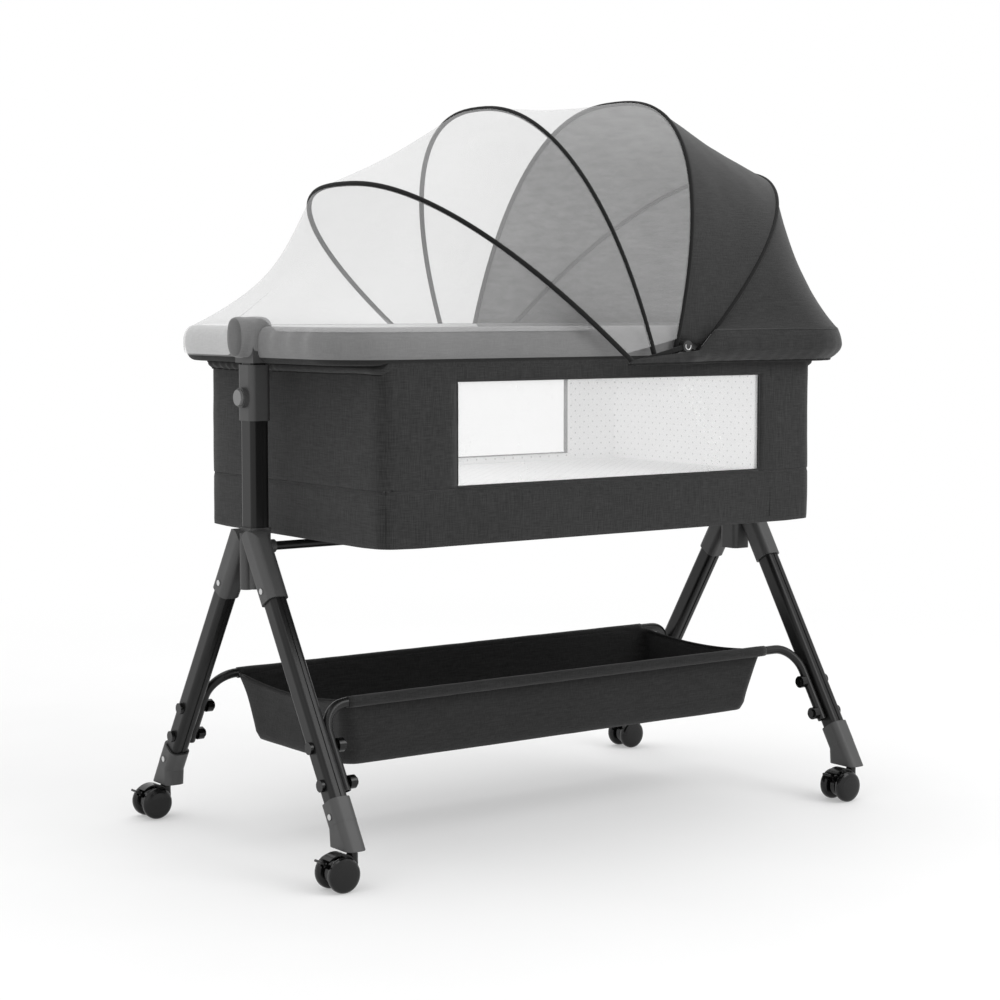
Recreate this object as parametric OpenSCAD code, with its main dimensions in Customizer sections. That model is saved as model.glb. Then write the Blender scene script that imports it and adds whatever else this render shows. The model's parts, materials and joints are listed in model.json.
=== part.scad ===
// Bassinet on a wheeled stand: a fabric bed hung from a padded rail, carried by two
// telescopic uprights on A-shaped legs, with a folding canopy and net and a storage basket.
// +X points to the head end, -Y to the front long side, +Z up. The origin is on the
// floor, midway between the legs.

/* [Casters] */
// Diameter of a caster wheel
wheel_d = 45; // [44:0.5:45]
// Width of one wheel of a twin caster
wheel_w = 16; // [14:0.5:16]
// Distance that the wheels trail behind the swivel stem
caster_trail = 22; // [21:0.5:23]
// Distance of each swivel stem from the centre, along the length
stem_x = 440; // [439:0.5:442]
// Distance of each swivel stem from the centre, across the width
stem_y = 252; // [250:1:254]

/* [Legs] */
// Height of the underside of the foot sockets
foot_z = 49.5; // [49.5:0.5:51]
// Distance of the legs' plane from the centre
leg_x = 440.5; // [438:0.5:442]
// Height at which the two leg axes of one end would meet
apex_z = 451.5; // [450:0.5:453]
// Sideways run of a leg for each millimetre of height
leg_slope = 0.62; // [0.61:0.01:0.63]
// Thickness of a leg tube along the bassinet's length
leg_w = 25; // [24:0.5:25]
// Depth of a leg tube in the plane of the A
leg_d = 28; // [26:0.5:28]

/* [Uprights] */
// Distance of the uprights from the centre
upright_x = 431; // [430:0.5:432]
// Thickness of an upright along the bassinet's length
upright_w = 27; // [26:0.5:27]
// Depth of an upright across the bassinet's width
upright_d = 32; // [30:0.5:32]
// Height of the middle of the lock button
button_z = 612; // [606:1:616]

/* [Bed] */
// Length of the fabric box
bed_l = 745.2; // [740:1:750]
// Width of the fabric box
bed_w = 449.4; // [446:1:452]
// Height of the underside of the fabric box
bed_z0 = 423; // [420:1:426]
// Height of the top of the fabric box
bed_z1 = 656; // [655:0.5:656]
// Height of the top of the mattress
mattress_z = 492; // [480:1:496]

/* [Rail] */
// Length of the padded rail's centre line
rail_l = 844; // [842:1:846]
// Width of the padded rail's centre line
rail_w = 440; // [438:1:440]
// Width of the padded rail's section
pad_w = 34; // [34:0.5:35]
// Height of the padded rail's section
pad_h = 50; // [46:1:50]
// Height of the middle of the padded rail
rail_z = 682; // [682:0.5:683]

/* [Canopy] */
// Where the hoops pivot, along the length
pivot_x = 109; // [107:1:111]
// Height of the pivot
pivot_z = 678; // [677:1:679]
// Radius of a hoop rod
rod_r = 1.9; // [1.5:0.1:1.9]
// Distance between two neighbouring hoops' end fittings, across the width
hoop_pitch = 4.2; // [4.2:0.1:4.4]

/* [Basket] */
// Height of the basket's rails
basket_rail_z = 216; // [214:1:218]
// Height of the basket's underside
basket_z0 = 122; // [118:1:130]
// Outer diameter of a basket rail
basket_rail_d = 13; // [11:1:13]
// How far the bag is slid along its rails, towards the foot end
basket_shift = 10; // [0:1:10]

/* [Hidden] */
$fn = 48;

GREY = "#626265";
GUNMETAL = "#2c2d30";
BLACK = "#17181a";
CHARCOAL = "#3d3d3f";
PALE = "#e9e9ea";
PAD_GREY = "#8e8e90";
NET_WHITE = "#f1f1f2";
STEEL = "#b5b7ba";

// Clearances: between a turning shaft and its bore, and between pieces that only sit together
running = 0.05;
seat = 0.15;
past = 1;                                  // how far a cutter runs past a face

// Leg geometry, measured along a leg's axis from the point where the two axes meet
lean = atan(leg_slope);
function along(z) = (apex_z - z) / cos(lean);
leg_top = along(385);
leg_end = along(82);
foot_top = along(105);
foot_kink = along(78);
foot_wall = 3;
foot_taper = 1.6;
leg_round = 7;
leg_wall = 2.4;
leg_groove = [3, 1.1];                     // down the middle of a face: width and depth
socket_end = along(345);
socket_top = 22;
socket_wall = 3;
socket_w = leg_w + 2 * socket_wall;
socket_d = leg_d + 2 * socket_wall;
bolt_along = [along(168), along(124)];
bolt_r = 3;
screw_r = 2;
screw_bore = 10;
screw_shank = 2.4;
screw_head = [4, 1.4];                     // radius and height
hub_screw = socket_end - 16;
foot_screw = foot_top + 20;

// Hub, crossbar and upright
hub_bottom = 356;
hub_top = 438;
rib_x = leg_x + 5;
rib_r = 9;
rib_z = [355, 431];
upright_z0 = 366;
upright_z1 = 650;
upright_wall = 1.6;
upright_round = 6;
upright_groove = [6, 0.8];
crossbar_z = 411;
crossbar_r = 6;
crossbar_t = 1.2;
crossbar_end = 413.8;
crossbar_boss = [403, 9];                  // where it starts along X, and its radius
collar_z0 = 581;
collar_z1 = 655.5;
collar_w = 32;
collar_d = 37;
collar_round = 8;

// Lock button: all depths are along X, outwards from the upright's axis
button_r = 10.6;
button_face = 26.5;
button_back = 20;
button_tip = 18.3;
button_pin_r = 4;
button_bore = 8;
boss_face = 22.5;
boss_r = 13.5;
spring_from = 13.9;
spring_r = [5, 7.8];

// Caster
wheel_r = wheel_d / 2;
wheel_y = 15.7;
axle_r = 3;
stem_r = 5;
stem_top = foot_z + 14.5;
neck_r = 7.2;
neck_z0 = 34;
web_w = 8;
web_r = 16.5;
hood_from = 40;
hood_to = 132;
hood_root = 82;
hood_r = wheel_r + 1.5;
hood_t = 2;
hood_w = 20;
lever_turn = 146;
lever_pivot_r = 12.5;
lever_pin_r = 1.8;
lever_arm = [16, 2.4, 6];
lever_plate = [9, 15, 2.4];

// Bed
shell_t = 2;
flange = [820, 460, 60];                   // top edge under the rail: length, width and corner
box_r = 15;
window = [[-260, 498.5], [268.5, 636.6]];
liner_t = 1.5;
board_z0 = bed_z0 + shell_t + 0.1;
board_t = 6;
rail_r = 62;
rim_r = 9;
pad_round = 15;
bump_r = 28;
bump_z = 692;
bump_x = [408, 462];
bracket_x = [409, 446];
bracket_y = 24;
bracket_z = [658, 699.5];
slide_z = [425, 672];
slide_t = 1.6;

// Hoops, from the head end to the foot end: plane's angle from +X, height in that plane,
// exponent of the rounded arch, and the foot of the arch along X and Z
HOOP = [
    [43.5, 389, 2.25, 138, 668],
    [76, 373, 2.5, 95, 669],
    [109, 368, 2.35, 56, 663],
    [141.5, 390, 2.46, 15, 656]];
hoop_w0 = 240.9;
function hoop_w(i) = hoop_w0 + i * hoop_pitch;
hoop_steps = 56;
rod_sides = 8;
fitting_t = 3.2;
eye_r = 8;
pivot_r = 3;
pin_head = [255.3, 256.8];

// Fabric panels: their stand-off from the hoops, thickness and grid
cloth_off = 4;
cloth_t = 1.5;
cloth_centre = [pivot_x, 0, 560];
arch_from = 3;
arch_steps = 24;
span_steps = 6;
net_sag = 24;
skirt = [[4, 655], [473, 702]];
skirt_y = 258.3;
skirt_t = 1.4;
skirt_r = 96;
// Where cloth meets the rail: middle along X, reach from it, half width and height
NET_EDGE = [-7, 465, 260, 726];
BACK_EDGE = [130, 343, 258, 708];

// Basket
rail_bend = 40;
rail_end_z = 114;
rail_bore_r = basket_rail_d / 2 - 1.2;
rail_side_x = leg_x - leg_w / 2 - basket_rail_d / 2 - 0.3;
basket_l = 744;
basket_w = 278;
basket_taper = [26, 28];
basket_round = [18, 24];
basket_t = 2.5;
hem_t = 1.9;
head_r = 8;
knob = [[9, 9], [6, 12]];                  // radius and length of its wide and narrow parts

// ---------- shared shapes ----------

// Rectangle with round corners
module rounded(w, d, r) {
    square([w - 2 * r, d], center = true);
    square([w, d - 2 * r], center = true);
    for (sx = [-1, 1], sy = [-1, 1])
        translate([sx * (w / 2 - r), sy * (d / 2 - r)]) circle(r = r);
}

// Upright block with a rounded outline, between two heights
module block(w, d, r, z0, z1) {
    translate([0, 0, z0]) linear_extrude(z1 - z0) rounded(w, d, r);
}

// Runs a section (x outwards, y up) round a rounded rectangle of half sizes hx and hy
module ring(hx, hy, r, z) {
    translate([0, 0, z]) {
        for (s = [0, 1]) {
            mirror([0, s, 0]) translate([0, hy, 0]) rotate([90, 0, 90])
                linear_extrude(2 * (hx - r), center = true) children();
            mirror([s, 0, 0]) translate([hx, 0, 0]) rotate([90, 0, 0])
                linear_extrude(2 * (hy - r), center = true) children();
        }
        for (sx = [0, 1], sy = [0, 1])
            mirror([sx, 0, 0]) mirror([0, sy, 0]) translate([hx - r, hy - r, 0])
                rotate_extrude(angle = 90) translate([r, 0]) children();
    }
}

// Cylinder along X between two distances from the centre, on the side given by its sign
module x_rod(side, x0, x1, y, z, r) {
    mirror([side < 0 ? 1 : 0, 0, 0]) translate([x0, y, z]) rotate([0, 90, 0])
        cylinder(r = r, h = x1 - x0);
}

// Puts children in the frame of one leg: local -Z runs down the leg's axis
module on_leg(end, side) {
    translate([end * leg_x, 0, apex_z]) rotate([side * lean, 0, 0]) children();
}

// A length of a section laid along a leg, from one distance to another
module leg_run(from, to) {
    translate([0, 0, -to]) linear_extrude(to - from) children();
}

// ---------- stand ----------

// Outside of a tube, grown all round by g
module leg_section(g) {
    rounded(leg_w + 2 * g, leg_d + 2 * g, leg_round + g);
}

module upright_section(g) {
    rounded(upright_w + 2 * g, upright_d + 2 * g, upright_round + g);
}

// Sleeve for the top of a leg, with a round end
module sleeve() {
    intersection() {
        leg_run(socket_top, socket_end) leg_section(socket_wall);
        rotate([90, 0, 90]) linear_extrude(2 * socket_w, center = true) {
            translate([0, -socket_top - socket_d / 2]) circle(d = socket_d);
            translate([-socket_d / 2, -socket_end])
                square([socket_d, socket_end - socket_top - socket_d / 2]);
        }
    }
}

// Hole for a small screw through the outer wall round a leg
module screw_hole(end, t) {
    translate([end * (leg_w / 2 - past), 0, -t]) rotate([0, end * 90, 0])
        cylinder(r = screw_r + running, h = screw_bore);
}

module hub(end) {
    color(GREY) difference() {
        union() {
            for (side = [-1, 1])
                on_leg(end, side) sleeve();
            translate([end * upright_x, 0, 0])
                block(collar_w, collar_d, collar_round, hub_bottom, hub_top);
            translate([end * rib_x, 0, rib_z[0]])
                cylinder(r = rib_r, h = rib_z[1] - rib_z[0]);
            x_rod(end, crossbar_boss[0], upright_x, 0, crossbar_z, crossbar_boss[1]);
        }
        for (side = [-1, 1])
            on_leg(end, side) {
                leg_run(leg_top - 1, socket_end + past) leg_section(seat);
                screw_hole(end, hub_screw);
            }
        translate([end * upright_x, 0, upright_z0 - 0.1]) linear_extrude(hub_top)
            upright_section(seat);
        x_rod(end, crossbar_boss[0] - past, crossbar_end + 0.2, 0, crossbar_z,
            crossbar_r + running);
    }
}

module leg(end, side) {
    color(GUNMETAL) difference() {
        on_leg(end, side) leg_run(leg_top, leg_end) difference() {
            leg_section(0);
            leg_section(-leg_wall);
            for (s = [-1, 1])
                translate([0, s * leg_d / 2])
                    square([leg_groove[0], 2 * leg_groove[1]], center = true);
        }
        for (t = bolt_along)
            on_leg(end, side) translate([0, 0, -t]) rotate([0, 90, 0])
                cylinder(r = bolt_r + running, h = 2 * leg_w, center = true);
    }
}

// Underside of a foot: its outer edge follows the leg and its inner edge stands straight
module foot_base(end, side) {
    half = leg_d / 2 + foot_wall;
    outer = leg_slope * (apex_z - foot_z) + half / cos(lean) - 1;
    inner = foot_kink * sin(lean) - half * cos(lean);
    w = leg_w + 2 * foot_wall - foot_taper;
    translate([end * leg_x, side * (outer + inner) / 2, foot_z]) linear_extrude(1)
        rounded(w, outer - inner, leg_round + foot_wall, $fn = 24);
}

module foot_socket(end, side) {
    color(GREY) difference() {
        union() {
            on_leg(end, side) leg_run(foot_top, foot_kink) leg_section(foot_wall);
            hull() {
                on_leg(end, side) leg_run(foot_kink - 1, foot_kink)
                    rounded(leg_w + 2 * foot_wall - 0.3, leg_d + 2 * foot_wall - 0.3,
                        leg_round + foot_wall, $fn = 24);
                foot_base(end, side);
            }
        }
        on_leg(end, side) leg_run(foot_top - past, leg_end + 0.2) leg_section(seat);
        translate([end * stem_x, side * stem_y, foot_z - past])
            cylinder(r = stem_r + running, h = stem_top - foot_z + past + 0.5);
        on_leg(end, side) screw_hole(end, foot_screw);
    }
}

// A small screw with a domed head, seated at height x on the outer face of a socket
module small_screw(end, x, t) {
    translate([end * x, 0, -t]) rotate([0, end * 90, 0]) {
        cylinder(r = screw_head[0], h = screw_head[1]);
        translate([0, 0, -screw_shank]) cylinder(r = screw_r, h = screw_shank + 0.5);
    }
}

module leg_screws() {
    color(STEEL)
        for (end = [-1, 1], side = [-1, 1])
            on_leg(end, side) {
                small_screw(end, leg_w / 2 + socket_wall + 0.02, hub_screw);
                small_screw(end, leg_w / 2 + foot_wall + 0.02, foot_screw);
            }
}

module crossbar() {
    color(GUNMETAL) rotate([0, 90, 0]) translate([-crossbar_z, 0, 0]) difference() {
        cylinder(r = crossbar_r, h = 2 * crossbar_end, center = true);
        cylinder(r = crossbar_r - crossbar_t, h = 2 * upright_x, center = true);
    }
}

module upright(end) {
    color(GUNMETAL) difference() {
        translate([end * upright_x, 0, upright_z0]) linear_extrude(upright_z1 - upright_z0)
            difference() {
                upright_section(0);
                upright_section(-upright_wall);
                for (s = [-1, 1])
                    translate([0, s * upright_d / 2])
                        square([upright_groove[0], 2 * upright_groove[1]], center = true);
            }
        x_rod(end, upright_x + button_bore, upright_x + upright_w / 2 + past, 0, button_z,
            button_pin_r + 0.3);
    }
}

module lock_collar(end) {
    color(GREY) difference() {
        union() {
            translate([end * upright_x, 0, 0])
                block(collar_w, collar_d, collar_round, collar_z0, collar_z1);
            x_rod(end, upright_x + 2, upright_x + boss_face, 0, button_z, boss_r);
        }
        translate([end * upright_x, 0, collar_z0 - past]) linear_extrude(100)
            upright_section(seat);
        x_rod(end, upright_x + button_bore, upright_x + boss_face + past, 0, button_z,
            button_r + running);
    }
}

// Both return springs, as folded sleeves behind the buttons
module lock_springs() {
    folds = [for (i = [0:6]) [spring_r[i % 2], spring_from + i]];
    color(STEEL)
        for (end = [-1, 1])
            mirror([end < 0 ? 1 : 0, 0, 0]) translate([upright_x, 0, button_z]) rotate([0, 90, 0])
                rotate_extrude()
                    polygon(concat(folds, [for (i = [6:-1:0]) folds[i] + [0.9, 0]]));
}

module height_button(end) {
    color(BLACK) union() {
        x_rod(end, upright_x + button_back + 0.5, upright_x + button_face, 0, button_z, button_r);
        x_rod(end, upright_x + button_tip, upright_x + button_back + 2, 0, button_z,
            button_pin_r);
    }
}

// ---------- basket ----------

module basket_rail(side) {
    top = along(basket_rail_z);
    bend_x = rail_side_x - rail_bend;
    drop = along(rail_end_z) - top - rail_bend;
    module section() {
        difference() {
            circle(d = basket_rail_d);
            circle(r = rail_bore_r);
        }
    }
    color(BLACK) difference() {
        translate([0, 0, apex_z]) rotate([side * lean, 0, 0]) translate([0, 0, -top]) {
            rotate([0, 90, 0]) linear_extrude(2 * bend_x, center = true) section();
            for (s = [0, 1])
                mirror([s, 0, 0]) translate([bend_x, 0, -rail_bend]) {
                    rotate([90, 0, 0]) rotate_extrude(angle = 90)
                        translate([rail_bend, 0]) section();
                    translate([rail_bend, 0, -drop]) linear_extrude(drop) section();
                }
        }
        for (end = [-1, 1], t = bolt_along)
            on_leg(end, side) translate([0, 0, -t]) rotate([0, 90, 0])
                cylinder(r = bolt_r + running, h = 4 * leg_w, center = true);
    }
}

module basket_bolts() {
    color(BLACK)
        for (end = [-1, 1], side = [-1, 1], t = bolt_along)
            on_leg(end, side) translate([end * leg_w / 2, 0, -t]) rotate([0, -end * 90, 0]) {
                translate([0, 0, -5]) cylinder(r = head_r, h = 4.9);
                translate([0, 0, -1]) cylinder(r = bolt_r, h = leg_w + basket_rail_d + 11);
            }
}

module basket_knobs() {
    color(BLACK)
        for (end = [-1, 1], side = [-1, 1], t = bolt_along)
            on_leg(end, side) translate([-end * (leg_w / 2 + basket_rail_d + 0.5), 0, -t])
                rotate([0, -end * 90, 0]) difference() {
                    union() {
                        for (part = knob)
                            cylinder(r = part[0], h = part[1]);
                    }
                    translate([0, 0, -past]) cylinder(r = bolt_r + running, h = 10.6);
                }
}

module storage_basket() {
    hem_y = leg_slope * (apex_z - basket_rail_z);
    module bag(inset, z0, z1) {
        hull() {
            translate([0, 0, z1]) linear_extrude(1)
                rounded(basket_l - 2 * inset, basket_w - 2 * inset, basket_round[0], $fn = 32);
            translate([0, 0, z0]) linear_extrude(1)
                rounded(basket_l - basket_taper[0] - 2 * inset,
                    basket_w - basket_taper[1] - 2 * inset, basket_round[1], $fn = 32);
        }
    }
    color(BLACK) translate([-basket_shift, 0, 0]) difference() {
        union() {
            bag(0, basket_z0, basket_rail_z);
            for (side = [-1, 1])
                translate([0, side * hem_y, basket_rail_z]) rotate([0, 90, 0])
                    cylinder(r = basket_rail_d / 2 + 0.2 + hem_t, h = basket_l - 4, center = true);
        }
        bag(basket_t, basket_z0 + basket_t, basket_rail_z + 2);
        for (side = [-1, 1])
            translate([0, side * hem_y, basket_rail_z]) rotate([0, 90, 0])
                cylinder(r = basket_rail_d / 2 + 0.2, h = 2 * basket_l, center = true);
    }
}

// ---------- casters: local origin on the floor below the stem ----------

module at_caster(end, side) {
    translate([end * stem_x, side * stem_y, 0]) children();
}

module at_axle() {
    translate([-caster_trail, 0, wheel_r]) children();
}

module y_rod(r, w) {
    rotate([90, 0, 0]) cylinder(r = r, h = w, center = true);
}

// Side view of the housing about the axle: a disc, the root of the hood and a neck to the stem
module housing_outline() {
    function ray(q) = 2 * wheel_d * [cos(q), sin(q)];
    circle(r = web_r);
    intersection() {
        circle(r = hood_r + hood_t / 2);
        polygon([[0, 0], ray(hood_from + 3), ray(hood_root)]);
    }
    translate([caster_trail - neck_r + 1, -8]) square([2 * neck_r - 2, 30]);
}

module caster_housing(end, side) {
    color(BLACK) at_caster(end, side) difference() {
        union() {
            at_axle() {
                rotate([90, 0, 0]) linear_extrude(web_w, center = true) housing_outline();
                rotate([90, 0, 0]) rotate([0, 0, hood_from]) rotate_extrude(angle = hood_to - hood_from)
                    translate([hood_r, -hood_w / 2]) square([hood_t, hood_w]);
            }
            translate([0, 0, neck_z0]) cylinder(r = neck_r, h = foot_z - neck_z0 - 0.3);
            translate([0, 0, foot_z - 4]) cylinder(r = stem_r, h = stem_top - foot_z + 4);
        }
        at_axle() {
            y_rod(axle_r + running, 40);
            rotate([0, -lever_turn, 0]) translate([lever_pivot_r, 0, 0])
                y_rod(lever_pin_r + running, 40);
        }
    }
}

// Wheel with a flat inner face and a domed outer one, which points along -Y
module wheel() {
    in = -wheel_w / 2;
    out = wheel_w / 2;
    bore = axle_r + running;
    rotate([90, 0, 0]) rotate_extrude()
        polygon([[bore, in], [wheel_r - 7, in], [wheel_r - 3, in + 1.2], [wheel_r - 0.8, in + 3.6],
            [wheel_r, -1.6], [wheel_r, 1.6], [wheel_r - 0.8, out - 4.2], [wheel_r - 3, out - 2.2],
            [wheel_r - 7, out - 1], [wheel_r - 13, out - 0.3], [bore, out]]);
}

module caster_wheels(end, side) {
    color(BLACK) at_caster(end, side) at_axle() {
        for (s = [0, 1])
            mirror([0, s, 0]) translate([0, -wheel_y, 0]) wheel();
        y_rod(axle_r, 2 * wheel_y + wheel_w);
    }
}

module caster_brake(end, side) {
    arm_y = web_w / 2 + 0.4 + lever_arm[1] / 2;
    plate_x = wheel_r + 2;
    color(BLACK) at_caster(end, side) at_axle() rotate([0, -lever_turn, 0]) {
        translate([lever_pivot_r, 0, 0]) y_rod(lever_pin_r, web_w + 2 * lever_arm[1] + 0.8);
        for (s = [-1, 1])
            translate([lever_pivot_r - 3, s * arm_y - lever_arm[1] / 2, -lever_arm[2] / 2])
                cube(lever_arm);
        translate([plate_x, -lever_plate[1] / 2, -lever_plate[2] / 2]) cube(lever_plate);
        translate([plate_x + lever_plate[0], 0, 0]) y_rod(1.7, lever_plate[1]);
    }
}

// ---------- bed ----------

module slide_tube(end) {
    color(STEEL) translate([end * upright_x, 0, slide_z[0]])
        linear_extrude(slide_z[1] - slide_z[0]) difference() {
            upright_section(-upright_wall - 0.1);
            upright_section(-upright_wall - slide_t);
        }
}

module bracket_space(end, gap) {
    mirror([end < 0 ? 1 : 0, 0, 0])
        translate([bracket_x[0] - gap, -bracket_y - gap, bracket_z[0] - past])
            cube([bracket_x[1] - bracket_x[0] + 2 * gap, 2 * (bracket_y + gap),
                bracket_z[1] - bracket_z[0] + past + gap]);
}

module end_bracket(end) {
    color(GREY) difference() {
        intersection() {
            bracket_space(end, 0);
            translate([-600, -100, bracket_z[0]]) cube([1200, 200, 100]);
        }
        translate([end * rail_l / 2, 0, rail_z]) y_rod(rim_r + seat, 100);
        translate([end * upright_x, 0, bracket_z[0] - past])
            linear_extrude(slide_z[1] - bracket_z[0] + past + 0.1)
                upright_section(-upright_wall);
    }
}

module rim_tube() {
    color(STEEL) ring(rail_l / 2, rail_w / 2, rail_r, rail_z) difference() {
        circle(r = rim_r);
        circle(r = rim_r - 1.5);
    }
}

module rail_cover() {
    color(PAD_GREY) difference() {
        union() {
            ring(rail_l / 2, rail_w / 2, rail_r, rail_z) difference() {
                rounded(pad_w, pad_h, pad_round);
                circle(r = rim_r + 0.2);
            }
            for (end = [-1, 1])
                difference() {
                    x_rod(end, bump_x[0], bump_x[1], 0, bump_z, bump_r);
                    translate([end * rail_l / 2, 0, rail_z]) y_rod(rim_r + 0.2, 100);
                }
        }
        for (end = [-1, 1])
            bracket_space(end, 0.3);
        for (side = [0, 1])
            mirror([0, side, 0]) translate([pivot_x, rail_w / 2 + 20, pivot_z])
                y_rod(pivot_r + 0.3, 24);
    }
}

module rim_zip() {
    color(BLACK) ring(bed_l / 2 + 2, bed_w / 2 + 2, box_r + 2, bed_z1 - 7)
        square([3, 9], center = true);
}

module window_cut(y0, y1) {
    for (side = [0, 1])
        mirror([0, side, 0])
            translate([window[0][0], y0, window[0][1]])
                cube([window[1][0] - window[0][0], y1 - y0, window[1][1] - window[0][1]]);
}

module bed_shell() {
    color(CHARCOAL) difference() {
        union() {
            block(bed_l, bed_w, box_r, bed_z0, bed_z1);
            block(flange[0], flange[1], flange[2], bed_z1 - 1.7, bed_z1 + 0.3);
        }
        block(bed_l - 2 * shell_t, bed_w - 2 * shell_t, box_r - shell_t, bed_z0 + shell_t, bed_z1 + 1);
        window_cut(bed_w / 2 - 10, bed_w / 2 + 1);
    }
}

module mesh_window(side) {
    color(NET_WHITE, 0.5) mirror([0, side < 0 ? 1 : 0, 0])
        translate([window[0][0] + 0.1, bed_w / 2 - 1.6, window[0][1] + 0.1])
            cube([window[1][0] - window[0][0] - 0.2, 1.2, window[1][1] - window[0][1] - 0.2]);
}

module inner_liner() {
    gap = shell_t + 0.3;
    w = bed_l - 2 * gap;
    d = bed_w - 2 * gap;
    color(PALE) difference() {
        block(w, d, box_r - gap, board_z0 + board_t + 0.2, bed_z1);
        block(w - 2 * liner_t, d - 2 * liner_t, box_r - gap - liner_t, board_z0, bed_z1 + 1);
        window_cut(bed_w / 2 - 10, bed_w / 2 + 1);
    }
}

module floor_board() {
    color("#c9b48c")
        block(bed_l - 7, bed_w - 7, box_r - 4, board_z0, board_z0 + board_t);
}

module mattress() {
    color(PALE) block(bed_l - 10, bed_w - 10, box_r - 4, board_z0 + board_t + 0.2, mattress_z);
}

// ---------- canopy and net ----------

// A point of hoop i, with its arch grown by g, at arch angle a from the front to the back
function arch_side(n, a) = -sign(cos(a)) * pow(abs(cos(a)), 2 / n);
function arch_rise(n, a) = pow(abs(sin(a)), 2 / n);
function hoop_point(i, g, a) = let(h = HOOP[i], up = (h[1] + g) * arch_rise(h[2], a))
    [h[3] + up * cos(h[0]), (hoop_w(i) + g) * arch_side(h[2], a), h[4] + up * sin(h[0])];

function unit(v) = v / norm(v);
function hoop_ring(i, a) = let(
    p = hoop_point(i, 0, a),
    t = unit(hoop_point(i, 0, min(a + 0.5, 180)) - hoop_point(i, 0, max(a - 0.5, 0))),
    flat = [-sin(HOOP[i][0]), 0, cos(HOOP[i][0])],
    side = cross(t, flat))
    [for (k = [0:rod_sides - 1]) let(q = 360 * k / rod_sides)
        p + rod_r * (cos(q) * side + sin(q) * flat)];

// Closes a stack of rings, each of n points, into one solid
module tube(rings, n) {
    last = len(rings) - 1;
    polyhedron(
        points = [for (r = rings) each r],
        faces = concat(
            [[for (k = [n - 1:-1:0]) k]],
            [for (j = [0:last - 1], k = [0:n - 1]) let(m = (k + 1) % n)
                [j * n + k, j * n + m, (j + 1) * n + m, (j + 1) * n + k]],
            [[for (k = [0:n - 1]) last * n + k]]));
}

// End fitting of hoop i: an eye on the pivot pin and an arm out to the foot of the arch
module end_fitting(i) {
    arm = [HOOP[i][3] - pivot_x, HOOP[i][4] - pivot_z];
    for (s = [-1, 1])
        translate([pivot_x, s * hoop_w(i), pivot_z]) rotate([90, 0, 0])
            linear_extrude(fitting_t, center = true) difference() {
                union() {
                    circle(r = eye_r);
                    translate(arm) circle(r = 4);
                    rotate(atan2(arm[1], arm[0])) translate([0, -3]) square([norm(arm), 6]);
                }
                circle(r = pivot_r + running);
            }
}

module hoop(i) {
    color(BLACK) union() {
        tube([for (j = [0:hoop_steps]) hoop_ring(i, 180 * j / hoop_steps)], rod_sides);
        end_fitting(i);
    }
}

// Pins that carry the hoops, one on each side of the rail
module canopy_pivots() {
    y0 = rail_w / 2 + rim_r + 0.2;
    color(STEEL)
        for (s = [-1, 1])
            translate([pivot_x, 0, pivot_z]) {
                translate([0, s * (y0 + pin_head[0]) / 2, 0])
                    y_rod(pivot_r, pin_head[0] - y0 + 0.2);
                translate([0, s * (pin_head[0] + pin_head[1]) / 2, 0])
                    y_rod(eye_r, pin_head[1] - pin_head[0]);
            }
}

// A point of the line where cloth meets the rail, from one side round an end to the other
edge_round = 5;
function rail_point(end, edge, a) = [edge[0] + end * edge[1] * arch_rise(edge_round, a),
    edge[2] * arch_side(edge_round, a), edge[3]];

// A thin sheet, given as rows of points for its outer face and thickened towards the middle
function inwards(p) = p - cloth_t * unit(p - cloth_centre);
module sheet(outer) {
    rows = len(outer);
    n = len(outer[0]);
    function at(f, j, k) = f * rows * n + j * n + k;
    function quad(a, b, c, d) = [[a, b, c], [a, c, d]];
    polyhedron(
        points = concat([for (r = outer) each r], [for (r = outer) each [for (p = r) inwards(p)]]),
        faces = concat(
            [for (j = [0:rows - 2], k = [0:n - 2])
                each quad(at(0, j, k), at(0, j + 1, k), at(0, j + 1, k + 1), at(0, j, k + 1))],
            [for (j = [0:rows - 2], k = [0:n - 2])
                each quad(at(1, j, k), at(1, j, k + 1), at(1, j + 1, k + 1), at(1, j + 1, k))],
            [for (j = [0:rows - 2])
                each concat(quad(at(0, j, 0), at(1, j, 0), at(1, j + 1, 0), at(0, j + 1, 0)),
                    quad(at(0, j, n - 1), at(0, j + 1, n - 1), at(1, j + 1, n - 1), at(1, j, n - 1)))],
            [for (k = [0:n - 2])
                each concat(quad(at(0, 0, k), at(0, 0, k + 1), at(1, 0, k + 1), at(1, 0, k)),
                    quad(at(0, rows - 1, k), at(1, rows - 1, k), at(1, rows - 1, k + 1),
                        at(0, rows - 1, k + 1)))]));
}

function arch_angle(j) = arch_from + (180 - 2 * arch_from) * j / arch_steps;
function mix(p, q, u) = p * (1 - u) + q * u;

// Cloth between hoops i and i + 1, stopping a little short of each
module hoop_cloth(i) {
    sheet([for (k = [0:span_steps]) [for (j = [0:arch_steps])
        mix(hoop_point(i, cloth_off, arch_angle(j)), hoop_point(i + 1, cloth_off, arch_angle(j)),
            0.03 + 0.94 * k / span_steps)]]);
}

module canopy_top_panel() {
    color(CHARCOAL) hoop_cloth(0);
}

module net_rear_panel() {
    color(NET_WHITE, 0.4) hoop_cloth(1);
}

module net_middle_panel() {
    color(NET_WHITE, 0.4) hoop_cloth(2);
}

// Net from the foot-end hoop down to the rail, sagging between them
module net_front_panel() {
    color(NET_WHITE, 0.4)
        sheet([for (k = [0:span_steps]) let(u = 0.02 + 0.98 * k / span_steps)
            [for (j = [0:arch_steps]) let(a = arch_angle(j))
                mix(hoop_point(3, cloth_off, a), rail_point(-1, NET_EDGE, a), u)
                    - [0, 0, net_sag * sin(180 * u) * sin(a)]]]);
}

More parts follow.
